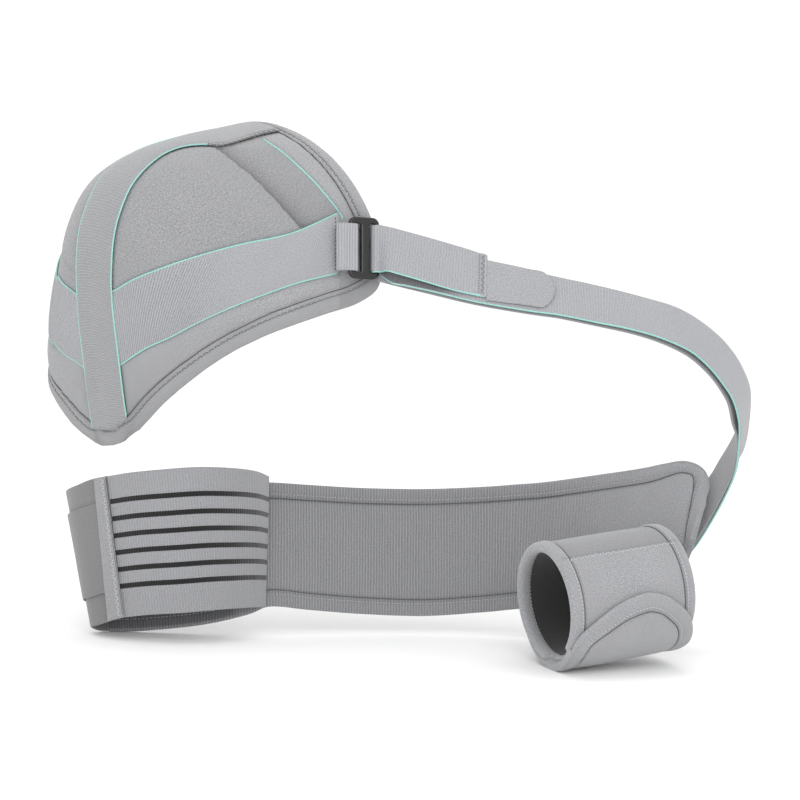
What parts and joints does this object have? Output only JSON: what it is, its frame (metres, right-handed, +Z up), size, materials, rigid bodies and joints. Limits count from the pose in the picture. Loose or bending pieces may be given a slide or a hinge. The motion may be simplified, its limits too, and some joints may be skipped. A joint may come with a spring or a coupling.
{
  "type": "shoulder brace",
  "caption": "Padded shoulder brace: shoulder cup, chest strap through a slide ring, body belt with an elastic arm loop, and a wrist cuff held on the belt.",
  "frame": {"origin": "on the crown of the shoulder cup, over the point of the shoulder that carries it", "axes": "+Z up, +X along the belt from the arm loop to the wrist cuff, +Y away from the front, from the front strap towards the belt"},
  "size_m": [0.5901, 0.2643, 0.4425],
  "materials": {
    "cup_fabric": "matt woven",
    "ribbed_band": "matt woven",
    "webbing": "matt woven",
    "black_plastic": "satin moulded",
    "strap_elastic": "matt woven",
    "hook_tab_fabric": "matt woven",
    "belt_fabric": "matt woven",
    "panel_fabric": "matt woven",
    "loop_elastic": "matt woven",
    "cuff_fabric": "matt woven"
  },
  "bodies": {
    "root": {"shoulder_cup": "cup_fabric", "cup_arch_band": "ribbed_band", "cup_side_band_front": "ribbed_band", "cup_side_band_back": "ribbed_band", "webbing_loop": "webbing", "slide_ring": "black_plastic", "chest_strap": "strap_elastic", "strap_backing": "strap_elastic", "hook_tab": "hook_tab_fabric", "rear_hook_tab": "hook_tab_fabric", "body_belt": "belt_fabric", "loop_side_panel": "panel_fabric", "loop_patch": "panel_fabric", "arm_loop_elastic": "loop_elastic", "wrist_cuff": "cuff_fabric", "cuff_flap": "cuff_fabric"}
  },
  "joints": []
}
